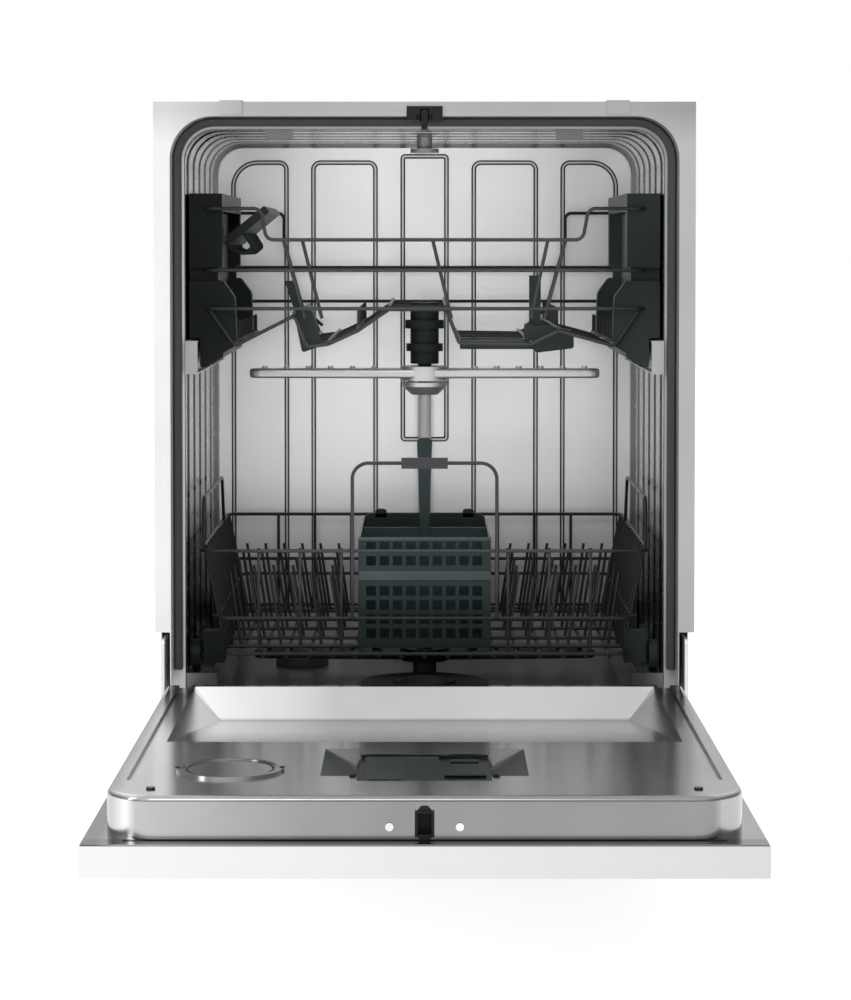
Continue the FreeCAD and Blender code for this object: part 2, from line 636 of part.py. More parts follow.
def cutlery_basket():
    x, y0, y1, z0, z1 = 75.0, 62.0, 292.0, 207.0, 332.0
    shell = box(-x, x, y0, y1, z0, z1).cut(box(-x + 2.5, x - 2.5, y0 + 2.5, y1 - 2.5, z0 + 2.5, z1 + 1))
    holes = []
    for z in (218, 234, 250, 266, 300, 316):
        for k in range(9):
            hx = -66 + k * 15
            holes.append(box(hx, hx + 11, y0 - 1, y1 + 1, z, z + 11))
        for k in range(14):
            hy = y0 + 12 + k * 15
            holes.append(box(-x - 1, x + 1, hy, hy + 11, z, z + 11))
    for i in range(9):
        for k in range(14):
            hx = -66 + i * 15
            hy = y0 + 12 + k * 15
            holes.append(box(hx, hx + 11, hy, hy + 11, z0 - 1, z0 + 3))
    shell = shell.cut(holes)
    middle = (y0 + y1) / 2
    divider = box(-x + 2, x - 2, middle - 1.5, middle + 1.5, z0 + 2, z1)
    stem = prism([V(-5, middle - 4, 320), V(-9, middle - 4, 437), V(9, middle - 4, 437), V(5, middle - 4, 320)],
                 [0, 5, 5, 0], V(0, 8, 0))
    return joined([shell, divider, stem])


# ---- door ----------------------------------------------------------------------------------

def door_outer_panel():
    outer = box(-298, 298, FASCIA_REAR + 0.4, DOOR_REAR, DOOR_UNDER, DOOR_RIM - 1.2)
    panel = outer.cut(box(-297, 297, FASCIA_REAR + 1.4, DOOR_REAR - 1, DOOR_UNDER + 1, DOOR_RIM))
    slot = box(282.5, 288, DOOR_REAR - 2, DOOR_REAR + 1, DOOR_UNDER + 4, DOOR_RIM)
    return panel.cut([slot, mirrored(slot)])




def control_fascia():
    outer = box(-298, 298, DOOR_FRONT, FASCIA_REAR, DOOR_UNDER, DOOR_RIM - 1.2)
    fascia = outer.cut(box(-295.5, 295.5, DOOR_FRONT + 2.5, FASCIA_REAR - 2.5, DOOR_UNDER + 2.5, DOOR_RIM))
    pocket = box(-92, 92, CONTROL_Y - 22, CONTROL_Y + 22, DOOR_UNDER, DOOR_UNDER + 22)
    grip = box(-90, 90, CONTROL_Y - 20, CONTROL_Y + 20, DOOR_UNDER - 1, DOOR_UNDER + 20)
    fascia = fascia.fuse(pocket).cut(grip)
    for name, x in BUTTONS:
        fascia = fascia.cut(rod(8.3, V(x, CONTROL_Y, 110), V(x, CONTROL_Y, 122)))
    return fascia.cut(box(DISPLAY_X[0], DISPLAY_X[1], CONTROL_Y - 12, CONTROL_Y + 12, 110, 122))


def control_button(x):
    return joined([rod(8, V(x, CONTROL_Y, 116), V(x, CONTROL_Y, 121)),
                   rod(9.6, V(x, CONTROL_Y, 121), V(x, CONTROL_Y, 122.5))])


def display_window():
    return box(DISPLAY_X[0] + 0.1, DISPLAY_X[1] - 0.1, CONTROL_Y - 11.9, CONTROL_Y + 11.9, DOOR_UNDER, 120)


def control_board():
    return box(105, 285, CONTROL_Y - 28, CONTROL_Y + 28, 129, 131)


def liner_block(inset):
    """Raised part of the inner door as a solid, drawn inset on every face."""
    half = LINER_HALF - inset
    front = LINER_FRONT + inset
    rear = LINER_REAR - inset
    top = LINER_TOP - inset
    corners = [V(-half, rear, 140), V(-half, front, 140), V(half, front, 140), V(half, rear, 140)]
    radius = LINER_RADIUS - inset
    block = prism(corners, [6, radius, radius, 6], V(0, 0, top - 140))
    rim = [e for e in block.Edges if abs(e.BoundBox.ZMin - top) < 0.1 and e.BoundBox.ZLength < 0.1]
    return block.makeFillet(5, rim)


def valley(grow):
    """Hollow by the hinge: a steep bright step, a long gentle ramp and two end facets."""
    top, low = LINER_TOP + 1, 152 - grow
    ridge, foot, ramp = -74 + grow, -98 + grow * 0.4, -420 - grow * 12
    wide, narrow = 249 + grow, 219 + grow
    points = [V(-wide, ridge, top), V(wide, ridge, top), V(wide, ramp, top), V(-wide, ramp, top),
              V(-narrow, foot, low), V(narrow, foot, low)]
    return polyhedron(points, [[0, 1, 2, 3], [1, 0, 4, 5], [3, 2, 5, 4], [0, 3, 4], [2, 1, 5]])


def liner_cuts(grow):
    """Channels for the rack wheels and the sloping recesses beside the dispenser."""
    depth = 3.6 + grow
    cuts = []
    for side in (-1, 1):
        x = side * GROOVE_X
        cuts.append(box(x - 7 - grow, x + 7 + grow, -600 - grow, LINER_REAR + 1,
                        LINER_TOP - depth, LINER_TOP + 2))
        ear = [V(side * 60, -583 - grow, LINER_TOP + 2), V(side * 60, -583 - grow, LINER_TOP - 9 - grow),
               V(side * (94 + grow), -583 - grow, LINER_TOP), V(side * (94 + grow), -583 - grow, LINER_TOP + 2)]
        cuts.append(prism(ear, [0] * 4, V(0, 136 + 2 * grow, 0)))
    return cuts


def door_liner():
    outer = liner_block(0).cut(valley(0)).cut(liner_cuts(0))
    inner = liner_block(SHEET).cut(valley(SHEET)).cut(liner_cuts(SHEET))
    rim = box(-297, 297, DOOR_FRONT + 3, LINER_REAR + 8, DOOR_RIM - 1, DOOR_RIM)
    shell = outer.fuse(rim).cut(inner)
    shell = shell.common(box(-300, 300, -700, 0, DOOR_RIM - 1, 200))
    shell = shell.cut(box(-60.5, 60.5, -605.5, -474.5, 140, 190))
    shell = shell.cut(rod(42, V(-177, -553, 140), V(-177, -553, 190)))
    return shell.cut(box(-7, 7, LINER_FRONT - 2, LINER_FRONT + 3, 150.5, 170.5))


def door_strike():
    outer = box(-10, 10, LINER_FRONT + 1.2, LINER_FRONT + 16, 148, 173)
    inner = box(-6, 6, LINER_FRONT - 4, LINER_FRONT + 14, 151, 170)
    collar = box(-8.5, 8.5, LINER_FRONT - 2, LINER_FRONT, 149, 172)
    sleeve = box(-6.9, 6.9, LINER_FRONT - 2, LINER_FRONT + 3, 150.6, 170.4)
    return joined([outer, collar, sleeve]).cut(inner)


def door_screws():
    screws = []
    for x in (-240.6, 240.6):
        screws.append(rod(4, V(x, -642, LINER_TOP), V(x, -642, LINER_TOP + 1.6)))
    for x in (-30.6, 30.6):
        screws.append(rod(3.6, V(x, LINER_FRONT - 2.4, 158), V(x, LINER_FRONT, 158)))
    return screws


def door_vent():
    ring = pipe(49, 44, V(-177, -553, LINER_TOP), V(-177, -553, LINER_TOP + 2.5))
    plug = rod(41.6, V(-177, -553, 160), V(-177, -553, LINER_TOP + 1))
    grille = joined([ring, plug, pipe(46, 40, V(-177, -553, LINER_TOP), V(-177, -553, LINER_TOP + 1))])
    return grille.cut(pipe(41, 38, V(-177, -553, LINER_TOP - 3), V(-177, -553, LINER_TOP + 3)))


def dispenser_body():
    body = box(-60, 60, -605, -475, 152, 180)
    well = box(-52, 12, -598, -482, 158, 181)
    rinse = box(22, 52, -560, -520, 158, 181)
    lip = box(-60, 60, -605, -475, 178, 180)
    press = box(23.5, 50.5, -508.5, -493.5, 174, 181)
    return joined([body, lip]).cut(well).cut(rinse).cut(press)


def dispenser_lid():
    plate = box(-54, 13, -600, -481, 180.4, 183)
    knuckle = rod(1.3, V(-54, -600, 181.7), V(-54, -481, 181.7))
    ridge = box(-50, -20, -598, -488, 183, 184.2)
    return joined([plate, knuckle, ridge])


def rinse_aid_lid():
    plate = box(18, 56, -566, -514, 180.4, 182.8)
    knuckle = rod(1.2, V(18, -566, 181.6), V(56, -566, 181.6))
    return joined([plate, knuckle])


def dispenser_button():
    return box(24, 50, -508, -494, 180.2, 183.4)


def door_seal():
    return box(-255, 255, LINER_REAR, LINER_REAR + 5, 150, 182)


def hinge_arms():
    outline = [V(283.6, -250, 128), V(283.6, -250, 143), V(283.6, -40, 144.5), V(283.6, HINGE_Y + 4, 150),
               V(283.6, HINGE_Y + 10, 134), V(283.6, HINGE_Y - 4, 127)]
    arm = prism(outline, [2, 2, 6, 7, 7, 6], V(3.4, 0, 0))
    right = arm.cut(rod(PIN_RADIUS + 0.05, V(280, HINGE_Y, HINGE_Z), V(290, HINGE_Y, HINGE_Z)))
    return [right, mirrored(right)]


def main():
    os.makedirs("parts", exist_ok=True)
    single = [front_frame, tub_wrapper, tub_back_wall, tub_floor, door_gasket, base_tray, rear_frame,
              kick_plate, latch_housing, latch_hook, sump_housing, coarse_filter, fine_filter,
              circulation_pump, drain_pump, feed_pipe, inlet_valve, air_break,
              salt_container, power_inlet, spray_manifold, cutlery_basket, door_outer_panel,
              control_fascia, display_window, control_board, door_liner, door_strike, door_vent,
              dispenser_body, dispenser_lid, rinse_aid_lid, dispenser_button, door_seal]
    groups = [side_panels, levelling_feet, hinge_brackets, worktop_brackets, door_springs,
              ceiling_fittings, rail_rollers, upper_rack_basket, tine_holders, rack_side_brackets,
              upper_rails, cup_shelf, lower_rack_basket, rack_handle, wheel_carriers, door_screws, hinge_arms]
    for piece in single:
        export(piece.__name__, [piece()])
    for group in groups:
        export(group.__name__, group())
    export("upper_spray_arm", [joined([spray_arm(209, ARM_Y, 504, 11, 8.05, 6), arm_nut()])])
    export("lower_spray_arm", [spray_arm(205, LOWER_ARM_Y, 167, 9, 9.05, 6)])
    for name, x in BUTTONS:
        export(name, [control_button(x)])
    export("rack_rollers_front", rack_rollers(ROLLER_YS[0]))
    export("rack_rollers_rear", rack_rollers(ROLLER_YS[1]))
    for number, y in enumerate(WHEEL_YS, 1):
        export("lower_wheels_" + str(number), lower_wheels(y))


main()
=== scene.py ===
import math

import bmesh
import bpy
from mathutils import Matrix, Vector


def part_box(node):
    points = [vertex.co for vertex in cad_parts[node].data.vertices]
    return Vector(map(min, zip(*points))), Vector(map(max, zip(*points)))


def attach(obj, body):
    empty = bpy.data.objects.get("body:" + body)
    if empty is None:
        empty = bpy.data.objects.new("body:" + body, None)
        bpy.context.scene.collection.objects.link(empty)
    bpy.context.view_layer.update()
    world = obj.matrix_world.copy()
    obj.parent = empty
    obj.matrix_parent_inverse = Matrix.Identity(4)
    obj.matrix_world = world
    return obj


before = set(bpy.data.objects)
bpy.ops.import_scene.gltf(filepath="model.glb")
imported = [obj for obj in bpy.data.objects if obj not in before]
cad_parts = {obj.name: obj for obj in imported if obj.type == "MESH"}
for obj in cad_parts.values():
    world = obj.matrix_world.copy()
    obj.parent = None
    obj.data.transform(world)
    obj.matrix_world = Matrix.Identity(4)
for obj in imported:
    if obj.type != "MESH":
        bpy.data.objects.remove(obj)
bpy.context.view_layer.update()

# Camera: a long lens opposite the upper half of the tub and square to its mouth, tipped down by two
# degrees, so the drop-down door lies in steep perspective below.
MOUTH_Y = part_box("front_frame")[0].y
EYE_DISTANCE = 3.066
EYE_HEIGHT = 0.66
EYE_TILT = math.radians(2.0)
LENS_MM = 100
SENSOR_MM = 36
SHIFT_ACROSS = 0.0009
SHIFT_DOWN = 0.156
EYE_REACH = 50
camera_data = bpy.data.cameras.new("camera")
camera_data.lens = LENS_MM
camera_data.sensor_width = SENSOR_MM
camera_data.shift_x = SHIFT_ACROSS
camera_data.shift_y = -SHIFT_DOWN
camera_data.clip_end = EYE_REACH
camera = bpy.data.objects.new("camera", camera_data)
camera.location = (0, MOUTH_Y - EYE_DISTANCE, EYE_HEIGHT)
camera.rotation_euler = (math.radians(90) - EYE_TILT, 0, 0)
bpy.context.scene.collection.objects.link(camera)
bpy.context.scene.camera = camera

# Studio light: a plain white room whose sides and lower front are held darker, as black flags do,
# so the steel shows edges. The eye itself always sees white behind the machine.
WHITE = (1, 1, 1, 1)
SKY_LOW = 0.30
SKY_HIGH = 1.15
SKY_LOW_AT = -0.15
SKY_HIGH_AT = 0.55
SIDE_DARK = 0.35
SIDE_STARTS = 0.45
SIDE_FULL = 0.85
SEEN_STRENGTH = 1.0
bpy.context.scene.view_settings.view_transform = "Standard"
world = bpy.data.worlds.new("studio")
world.use_nodes = True
sky, wires = world.node_tree.nodes, world.node_tree.links
lit = sky["Background"]
aim = sky.new("ShaderNodeTexCoord")
split = sky.new("ShaderNodeSeparateXYZ")
wires.new(aim.outputs["Generated"], split.inputs["Vector"])
rise = sky.new("ShaderNodeMapRange")
rise.inputs["From Min"].default_value = SKY_LOW_AT
rise.inputs["From Max"].default_value = SKY_HIGH_AT
rise.inputs["To Min"].default_value = SKY_LOW
rise.inputs["To Max"].default_value = SKY_HIGH
wires.new(split.outputs["Z"], rise.inputs["Value"])
across = sky.new("ShaderNodeMath")
across.operation = "ABSOLUTE"
wires.new(split.outputs["X"], across.inputs[0])
flag = sky.new("ShaderNodeMapRange")
flag.inputs["From Min"].default_value = SIDE_STARTS
flag.inputs["From Max"].default_value = SIDE_FULL
flag.inputs["To Min"].default_value = 1
flag.inputs["To Max"].default_value = SIDE_DARK
wires.new(across.outputs[0], flag.inputs["Value"])
level = sky.new("ShaderNodeMath")
level.operation = "MULTIPLY"
wires.new(rise.outputs["Result"], level.inputs[0])
wires.new(flag.outputs["Result"], level.inputs[1])
wires.new(level.outputs[0], lit.inputs["Strength"])
plain = sky.new("ShaderNodeBackground")
plain.inputs["Strength"].default_value = SEEN_STRENGTH
seen = sky.new("ShaderNodeLightPath")
either = sky.new("ShaderNodeMixShader")
wires.new(seen.outputs["Is Camera Ray"], either.inputs["Fac"])
wires.new(lit.outputs["Background"], either.inputs[1])
wires.new(plain.outputs["Background"], either.inputs[2])
wires.new(either.outputs["Shader"], sky["World Output"].inputs["Surface"])
lit.inputs["Color"].default_value = WHITE
plain.inputs["Color"].default_value = WHITE
bpy.context.scene.world = world


# Lamps: one broad soft box in front and above, a strip on the left for the pale left flange, and a
# small bar and a fill at the mouth that throw light on the tub's back wall.
def soft_box(name, place, target, width, height, power):
    data = bpy.data.lights.new(name, "AREA")
    data.shape = "RECTANGLE"
    data.size = width
    data.size_y = height
    data.energy = power
    lamp = bpy.data.objects.new(name, data)
    lamp.location = place
    lamp.rotation_euler = (Vector(target) - Vector(place)).to_track_quat("-Z", "Y").to_euler()
    lamp.visible_camera = False
    bpy.context.scene.collection.objects.link(lamp)


BACK_OF_TUB = (0, MOUTH_Y + 0.5, 0.5)
soft_box("front_box", place=(-0.5, -3.4, 2.4), target=(0, 0.5, 0.5), width=1.6, height=1.2, power=20)
soft_box("left_box", place=(-2.0, -1.6, 1.3), target=(0, 0.1, 0.5), width=0.5, height=1.5, power=9)
soft_box("mouth_bar", place=(0, MOUTH_Y + 0.06, 0.74), target=BACK_OF_TUB, width=0.4, height=0.05,
         power=0.1)
soft_box("mouth_fill", place=(0, MOUTH_Y + 0.02, 0.5), target=BACK_OF_TUB, width=0.4, height=0.45,
         power=2.0)
bpy.data.objects["mouth_fill"].visible_glossy = False


# Floor: a large sheet of white board under the machine, lit through so it stays paler than what
# stands on it. It isn't part of the machine.
FLOOR_REACH = 12
FLOOR_TONE = (0.75, 0.75, 0.75, 1)
FLOOR_GLOW = 0.52
ground = bmesh.new()
bmesh.ops.create_grid(ground, x_segments=1, y_segments=1, size=FLOOR_REACH)
ground_mesh = bpy.data.meshes.new("studio_floor")
ground.to_mesh(ground_mesh)
ground.free()
studio_floor = bpy.data.objects.new("studio_floor", ground_mesh)
bpy.context.scene.collection.objects.link(studio_floor)
floor_paint = bpy.data.materials.new("floor_paint")
floor_paint.use_nodes = True
paint = floor_paint.node_tree.nodes["Principled BSDF"]
paint.inputs["Base Color"].default_value = FLOOR_TONE
paint.inputs["Roughness"].default_value = 0.9
paint.inputs["Emission Color"].default_value = WHITE
paint.inputs["Emission Strength"].default_value = FLOOR_GLOW
ground_mesh.materials.append(floor_paint)


# Tub wrapper: one strip of bright ferritic stainless sheet rolled into sides and ceiling, with deep
# ribs pressed round it. The rolling grain runs round the strip. Painted shade darkens the rib
# flanks and the foot, and painted light brightens the ceiling.
def surface(name, colour, metallic, roughness, grain, depth, stretch=(1, 1, 1), shade=0.06,
            painted_light_fades=(), painted_shade_flank=None, sheen=0.5):
    """A finish whose tone, gloss and surface follow one fine grain on the piece itself. Each fade
    paints light or shade as (axis, from, to, tone there, tone here) along the piece; the flank paints
    the same along the normal."""
    made = bpy.data.materials.new(name)
    made.use_nodes = True
    nodes, links = made.node_tree.nodes, made.node_tree.links
    shader = nodes["Principled BSDF"]
    shader.inputs["Metallic"].default_value = metallic
    shader.inputs["Specular IOR Level"].default_value = sheen
    place = nodes.new("ShaderNodeTexCoord")
    turn = nodes.new("ShaderNodeMapping")
    turn.inputs["Scale"].default_value = stretch
    links.new(place.outputs["Object"], turn.inputs["Vector"])
    fine = nodes.new("ShaderNodeTexNoise")
    fine.inputs["Scale"].default_value = grain
    fine.inputs["Detail"].default_value = 5
    links.new(turn.outputs["Vector"], fine.inputs["Vector"])
    broad = nodes.new("ShaderNodeTexNoise")
    broad.inputs["Scale"].default_value = 7
    broad.inputs["Detail"].default_value = 2
    links.new(place.outputs["Object"], broad.inputs["Vector"])
    tone = nodes.new("ShaderNodeValToRGB")
    tone.color_ramp.elements[0].position = 0.3
    tone.color_ramp.elements[1].position = 0.7
    tone.color_ramp.elements[0].color = [c * (1 - shade) for c in colour] + [1]
    tone.color_ramp.elements[1].color = [min(c * (1 + shade), 1) for c in colour] + [1]
    links.new(broad.outputs["Fac"], tone.inputs["Fac"])
    colour_out = tone.outputs["Color"]
    painted_ramps = [("Object",) + fade for fade in painted_light_fades] + ([("Normal",) + painted_shade_flank] if painted_shade_flank else [])
    for source, axis, start, end, first, last in painted_ramps:
        parts = nodes.new("ShaderNodeSeparateXYZ")
        links.new(place.outputs[source], parts.inputs["Vector"])
        reach = parts.outputs[axis]
        if source == "Normal":
            size = nodes.new("ShaderNodeMath")
            size.operation = "ABSOLUTE"
            links.new(reach, size.inputs[0])
            reach = size.outputs[0]
        span = nodes.new("ShaderNodeMapRange")
        span.inputs["From Min"].default_value = start
        span.inputs["From Max"].default_value = end
        span.inputs["To Min"].default_value = first
        span.inputs["To Max"].default_value = last
        links.new(reach, span.inputs["Value"])
        painted_tone = nodes.new("ShaderNodeVectorMath")
        painted_tone.operation = "SCALE"
        links.new(colour_out, painted_tone.inputs[0])
        links.new(span.outputs["Result"], painted_tone.inputs["Scale"])
        colour_out = painted_tone.outputs["Vector"]
    links.new(colour_out, shader.inputs["Base Color"])
    gloss = nodes.new("ShaderNodeMapRange")
    gloss.inputs["To Min"].default_value = roughness * 0.8
    gloss.inputs["To Max"].default_value = min(roughness * 1.2, 1)
    links.new(fine.outputs["Fac"], gloss.inputs["Value"])
    links.new(gloss.outputs["Result"], shader.inputs["Roughness"])
    bump = nodes.new("ShaderNodeBump")
    bump.inputs["Strength"].default_value = 0.4
    bump.inputs["Distance"].default_value = depth
    links.new(fine.outputs["Fac"], bump.inputs["Height"])
    links.new(bump.outputs["Normal"], shader.inputs["Normal"])
    return made


def dress(finish, *names):
    for name in names:
        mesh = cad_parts[name].data
        mesh.materials.clear()
        mesh.materials.append(finish)


TUB_FOOT_SHADE = ("Z", 0.20, 0.40, 0.35, 1.0)
TUB_CEILING_LIGHT = ("Z", 0.72, 0.79, 1.0, 1.25)
RIB_FLANK_SHADE = ("Y", 0.1, 0.5, 1.0, 0.28)
wrapper_steel = surface("wrapper_steel", (0.60, 0.60, 0.59), metallic=1.0, roughness=0.26, grain=60,
                        depth=0.00003, stretch=(30, 1, 1), painted_light_fades=(TUB_FOOT_SHADE, TUB_CEILING_LIGHT),
                        painted_shade_flank=RIB_FLANK_SHADE)
dress(wrapper_steel, "tub_wrapper")

# Tub back wall: one pressed stainless sheet with tall raised outlines that stiffen it, seam welded
# into the wrapper. Its colour is raised as painted light, and painted shade darkens the tops and
# flanks of the outlines, the right side and the foot by the floor.
WALL_FOOT_SHADE = ("Z", 0.20, 0.36, 0.4, 1.0)
WALL_RIGHT_SHADE = ("X", -0.1, 0.27, 1.0, 0.86)
OUTLINE_TOP_SHADE = ("Y", 0.5675, 0.5695, 0.62, 1.0)
OUTLINE_FLANK_SHADE = ("Y", 0.72, 0.97, 0.1, 1.0)
lit_back_steel = surface("lit_back_steel", (0.96, 0.96, 0.955), metallic=0.7, roughness=0.42, grain=60,
                     depth=0.00003, stretch=(30, 30, 1), shade=0.04,
                     painted_light_fades=(WALL_FOOT_SHADE, WALL_RIGHT_SHADE, OUTLINE_TOP_SHADE), painted_shade_flank=OUTLINE_FLANK_SHADE)
dress(lit_back_steel, "tub_back_wall")

# Tub floor: a deep-drawn stainless pan that falls to the sump, welded to the wrapper's foot. It sees
# little light, so its colour is painted a darker grey as painted shade, with a fine crosswise grain.
shaded_pan_steel = surface("shaded_pan_steel", (0.30, 0.30, 0.295), metallic=1.0, roughness=0.25, grain=60,
                    depth=0.00004, stretch=(1, 30, 30), shade=0.12)
dress(shaded_pan_steel, "tub_floor")

# Front frame: folded, zinc-coated sheet round the mouth, spot welded to the wrapper. Painted light
# keeps the left post nearly white, and painted shade makes the right one grey and darkens the top
# rail.
LEFT_POST_LIGHT = ("X", -0.285, -0.2, 1.0, 0.62)
RIGHT_POST_SHADE = ("X", 0.2, 0.29, 1.0, 0.85)
TOP_RAIL_SHADE = ("Z", 0.775, 0.81, 1.0, 0.74)
post_steel = surface("post_steel", (0.86, 0.86, 0.86), metallic=0.35, roughness=0.34, grain=90,
                     depth=0.00003, painted_light_fades=(LEFT_POST_LIGHT, RIGHT_POST_SHADE, TOP_RAIL_SHADE))
dress(post_steel, "front_frame", "worktop_brackets")

# Side and rear covers: plain galvanised sheet with a faint spangle, bent to shape and screwed to the
# base.
cover_steel = surface("cover_steel", (0.62, 0.62, 0.62), metallic=0.8, roughness=0.42, grain=120,
                      depth=0.00005, shade=0.025)
dress(cover_steel, "side_panels", "rear_frame")

# Hinges: bright zinc-plated brackets and arms pressed from steel plate, one pair at each lower
# corner, with coiled springs that balance the door's weight.
zinc = surface("zinc", (0.86, 0.86, 0.85), metallic=0.35, roughness=0.25, grain=120, depth=0.00002,
               stretch=(1, 8, 1), shade=0.1)
dress(zinc, "hinge_brackets", "hinge_arms", "door_springs")

# Seals: extruded dark grey rubber, one pushed into the groove round the mouth and one lip at the
# door's lower edge.
rubber = surface("rubber", (0.045, 0.046, 0.047), metallic=0.0, roughness=0.5, grain=500,
                 depth=0.00008)
dress(rubber, "door_gasket", "door_seal")

# Latch and strike: moulded black nylon block with a spring hook over the mouth, and the dark keeper
# in the door's front wall.
nylon = surface("nylon", (0.012, 0.014, 0.014), metallic=0.0, roughness=0.40, grain=900,
                depth=0.00005, sheen=0.15)
dress(nylon, "latch_housing", "latch_hook", "door_strike")

# Ceiling fittings: the roof shower and two rail stops, dark moulded plastic fixed to the wrapper's
# ceiling, smooth enough to take on the steel's grey.
roof_plastic = surface("roof_plastic", (0.16, 0.165, 0.165), metallic=0.3, roughness=0.35, grain=500,
                       depth=0.00004, shade=0.2)
dress(roof_plastic, "ceiling_fittings")

# Rack fittings: black polypropylene mouldings clipped to the racks' wires, namely side brackets,
# tine holders, water manifold, folding shelf, rollers, wheels and their carriers.
# Painted light triples the tone of the fittings on the right side, from the right bracket out.
RIGHT_SIDE_LIGHT = ("X", 0.20, 0.25, 1.0, 3.0)
moulding = surface("moulding", (0.007, 0.009, 0.009), metallic=0.0, roughness=0.36, grain=900,
                   depth=0.00005, shade=0.3, painted_light_fades=(RIGHT_SIDE_LIGHT,), sheen=0.08)
dress(moulding, "rack_side_brackets", "tine_holders", "spray_manifold", "cup_shelf", "wheel_carriers",
      "lower_wheels_1", "lower_wheels_2", "lower_wheels_3", "rack_rollers_front", "rack_rollers_rear")

# Base and water parts: the tray the machine stands in, the sump and both pumps, near-black
# mouldings screwed together under the tub, and the filter in the sump's mouth.
base_plastic = surface("base_plastic", (0.022, 0.022, 0.023), metallic=0.0, roughness=0.55, grain=700,
                       depth=0.00006)
dress(base_plastic, "base_tray", "circulation_pump", "drain_pump", "sump_housing", "fine_filter")

# Baskets: bright steel wire bent and welded, then dipped in dark grey nylon powder that leaves a
# soft gloss and slightly fatter joints.
wire_coat = surface("wire_coat", (0.012, 0.013, 0.014), metallic=0.0, roughness=0.3, grain=300,
                    depth=0.00008, sheen=0.2)
dress(wire_coat, "upper_rack_basket", "lower_rack_basket", "rack_handle")

# Grey plastics: pale mouldings for the upper rack's rails and their rollers, the feed pipe, air
# break, valve, power inlet and feet, and darker ones for the coarse filter and the salt container.
pale_plastic = surface("pale_plastic", (0.40, 0.41, 0.41), metallic=0.0, roughness=0.45, grain=800,
                       depth=0.00004)
dress(pale_plastic, "upper_rails", "rail_rollers", "feed_pipe", "air_break", "inlet_valve",
      "power_inlet", "levelling_feet")
dark_grey = surface("dark_grey", (0.06, 0.062, 0.062), metallic=0.0, roughness=0.42, grain=800,
                    depth=0.00004)
dress(dark_grey, "coarse_filter", "salt_container")

# Spray arms: hollow mouldings with raised jets, each spinning on its hub. The upper one is silver,
# the lower one black.
silver = surface("silver", (0.55, 0.55, 0.55), metallic=0.9, roughness=0.34, grain=200,
                 depth=0.00003, stretch=(1, 12, 1), shade=0.12)
dress(silver, "upper_spray_arm")
dress(moulding, "lower_spray_arm")

# Cutlery basket and dispenser: dark green-grey polypropylene mouldings with a soft gloss. The
# basket lifts out of the lower rack, and the dispenser is set into the door liner.
green_grey = surface("green_grey", (0.006, 0.011, 0.011), metallic=0.0, roughness=0.3, grain=700,
                     depth=0.00006, shade=0.25, sheen=0.18)
dress(green_grey, "cutlery_basket", "dispenser_body", "dispenser_lid", "rinse_aid_lid",
      "dispenser_button")

# Door liner and vent ring: a deep-drawn stainless pressing, brushed across the door, and a ring of
# the same bright finish pushed into it. Long soft reflections of the dark racks lie on both, partly
# real and partly painted: painted shade darkens the front wall, the left wall and the rear ramp, and
# a painted glare on the left and a painted highlight on the rear step brighten them.
FRONT_WALL_SHADE = ("Y", -0.602, -0.598, 0.6, 1.0)
LEFT_WALL_SHADE = ("X", -0.285, -0.262, 0.3, 1.0)
LEFT_GLARE = ("X", -0.27, -0.1, 1.5, 0.86)
REAR_RAMP_SHADE = ("Y", -0.18, -0.03, 1.0, 0.55)
REAR_STEP_HIGHLIGHT = ("Y", -0.029, -0.026, 1.0, 2.1)
liner_steel = surface("liner_steel", (0.50, 0.50, 0.495), metallic=1.0, roughness=0.18, grain=60,
                      depth=0.00002, stretch=(1, 40, 40), shade=0.08,
                      painted_light_fades=(FRONT_WALL_SHADE, LEFT_WALL_SHADE, LEFT_GLARE, REAR_RAMP_SHADE, REAR_STEP_HIGHLIGHT))
dress(liner_steel, "door_liner", "door_vent")

# Door front, fascia, keys and plinth: folded steel sheet under white powder coat with a slight
# orange peel, and white mouldings of the same tone for the fascia and its keys.
# Painted light brightens the left side and painted shade darkens the right.
LEFT_LIGHT_RIGHT_SHADE = ("X", -0.3, 0.3, 1.08, 0.86)
enamel = surface("enamel", (0.70, 0.70, 0.70), metallic=0.0, roughness=0.30, grain=600,
                 depth=0.00003, shade=0.01, painted_light_fades=(LEFT_LIGHT_RIGHT_SHADE,))
dress(enamel, "door_outer_panel", "kick_plate", "control_fascia", "power_button", "start_button")

# Display and its board: a smoked window set in the fascia, and behind it the green glass-fibre
# circuit board that it belongs to.
display = surface("display", (0.012, 0.013, 0.015), metallic=0.0, roughness=0.08, grain=400,
                  depth=0.00001)
dress(display, "display_window")
board = surface("board", (0.03, 0.16, 0.06), metallic=0.0, roughness=0.4, grain=600, depth=0.00005)
dress(board, "control_board")

# Door screws: two small bright heads beside the keeper and two on the liner's top, which hold the
# liner to the rest of the door. Painted shade turns the two on the liner's top nearly black.
TOP_HEAD_SHADE = ("Y", -0.600, -0.590, 1.0, 0.03)
screw_steel = surface("screw_steel", (0.85, 0.85, 0.85), metallic=0.5, roughness=0.25, grain=300,
                      depth=0.00002, shade=0.1, painted_light_fades=(TOP_HEAD_SHADE,))
dress(screw_steel, "door_screws")


# Basket crest: the cutlery basket's back rises into a solid band with rounded corners, and two
# hooks on it hang the basket on the rack. Moulded in one with the basket, dark green-grey.
EDGE = 0.0005


